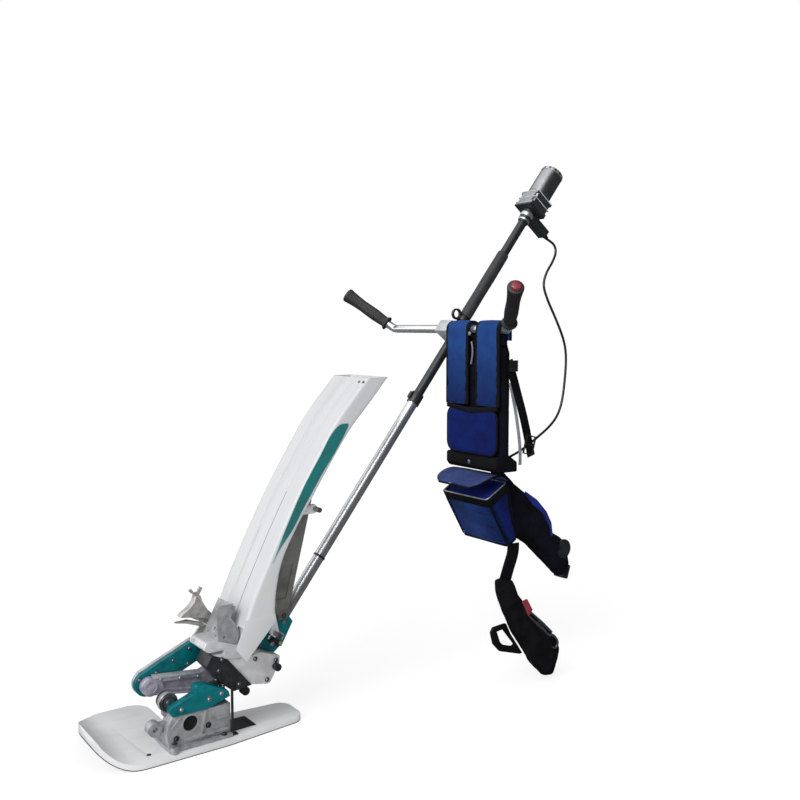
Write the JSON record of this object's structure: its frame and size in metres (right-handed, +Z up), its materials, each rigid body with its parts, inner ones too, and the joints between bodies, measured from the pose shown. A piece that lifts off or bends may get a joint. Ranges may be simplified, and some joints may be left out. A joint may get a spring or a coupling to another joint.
{
  "type": "hand guided single-row rice transplanter",
  "caption": "Hand guided rice transplanter: float, gear foot with planting arm and claw, curved seedling tray, slanted mast, motor, handlebar and slung battery harness.",
  "frame": {"origin": "hold point at the middle of the handlebar's straight tube", "axes": "+X from the float's nose back towards the operator, +Y to the far side of the picture, +Z up"},
  "size_m": [1.3829, 0.7452, 1.4044],
  "materials": {
    "float_plastic": "moulded",
    "skid_rubber": "matt",
    "dark_plastic": "satin",
    "housing_casting": "as cast",
    "seal_rubber": "matt",
    "teal_paint": "gloss",
    "black_paint": "satin",
    "dark_steel": "oiled",
    "link_casting": "as cast",
    "pin_steel": "ground",
    "arm_casting": "as cast",
    "claw_steel": "worn",
    "drive_casting": "matt",
    "bright_casting": "as cast",
    "bracket_steel": "zinc plated",
    "tray_plastic": "moulded",
    "tray_teal": "printed",
    "mast_steel": "zinc plated",
    "sleeve_foam": "foam",
    "clamp_alloy": "die cast",
    "bar_chrome": "polished",
    "grip_rubber": "ribbed",
    "red_plastic": "moulded",
    "gearbox_black": "satin",
    "cap_alloy": "turned",
    "cable_rubber": "satin",
    "strap_blue": "woven",
    "navy_fabric": "woven",
    "black_fabric": "woven",
    "pad_foam": "foam"
  },
  "bodies": {
    "chassis": {"float_board": "float_plastic", "float_skid": "skid_rubber", "tail_plate": "dark_plastic", "gear_housing": "housing_casting", "bearing_seal": "seal_rubber", "housing_cover": "teal_paint", "depth_link": "black_paint", "link_pin": "pin_steel", "drive_case": "drive_casting", "rubber_stop": "seal_rubber", "feed_case": "bright_casting", "feed_knob": "dark_plastic", "tray_foot": "bright_casting", "tray_gate": "bracket_steel", "rear_bracket": "teal_paint", "clamp_lever": "dark_steel", "support_strut": "bracket_steel", "upper_guide_rod": "pin_steel", "lower_guide_rod": "pin_steel", "lower_mast": "mast_steel", "upper_mast": "black_paint", "mast_collar": "dark_plastic", "foam_sleeve": "sleeve_foam", "hanger_ring": "dark_plastic", "handlebar_clamp": "clamp_alloy", "handlebar": "bar_chrome", "grip_left": "grip_rubber", "grip_right": "grip_rubber", "grip_button": "red_plastic", "motor_bracket": "black_paint", "reduction_gearbox": "gearbox_black", "motor": "gearbox_black", "motor_cap": "cap_alloy", "cable_gland": "dark_plastic", "power_lead": "cable_rubber", "shoulder_strap_far": "strap_blue", "shoulder_strap_near": "strap_blue", "harness_panel": "black_fabric", "lower_pad": "navy_fabric", "harness_band": "black_fabric", "battery_bag": "navy_fabric", "battery_pack": "dark_plastic", "hip_belt": "navy_fabric", "drop_strap": "black_fabric", "thigh_pad": "pad_foam", "pad_loop": "pad_foam", "quick_release": "red_plastic", "side_strap": "black_fabric"},
    "crank": {"crank": "dark_steel"},
    "planting_link": {"swing_link": "link_casting", "arm_pin": "pin_steel"},
    "planting_arm": {"arm_case": "arm_casting", "arm_cover": "teal_paint", "claw_bracket": "claw_steel", "claw_hood": "claw_steel", "claw_fork": "claw_steel", "claw_blade": "claw_steel"},
    "tray": {"seedling_tray": "tray_plastic", "tray_stripe": "tray_teal"},
    "lid": {"bag_lid": "navy_fabric"}
  },
  "joints": [
    {"name": "crank_turn", "type": "hinge", "parent": "chassis", "child": "crank", "pos_m": [-0.806, 0, -0.825], "axis": [0, -1, 0], "continuous": true},
    {"name": "link_swing", "type": "hinge", "parent": "chassis", "child": "planting_link", "pos_m": [-0.676, 0, -0.793], "axis": [0, -1, 0], "range_deg": [0, 12]},
    {"name": "arm_swing", "type": "hinge", "parent": "planting_link", "child": "planting_arm", "pos_m": [-0.832, 0, -0.796], "axis": [0, -1, 0], "range_deg": [0, 36]},
    {"name": "tray_shuttle", "type": "slide", "parent": "chassis", "child": "tray", "axis": [0, 1, 0], "range_m": [-0.02, 0.02]},
    {"name": "bag_lid_fold", "type": "hinge", "parent": "chassis", "child": "lid", "pos_m": [0.04001, 0, -0.386], "axis": [0, -1, 0], "range_deg": [0, 24]}
  ],
  "couplings": [
    {"joint": "arm_swing", "follows": "link_swing", "ratio": 3}
  ]
}
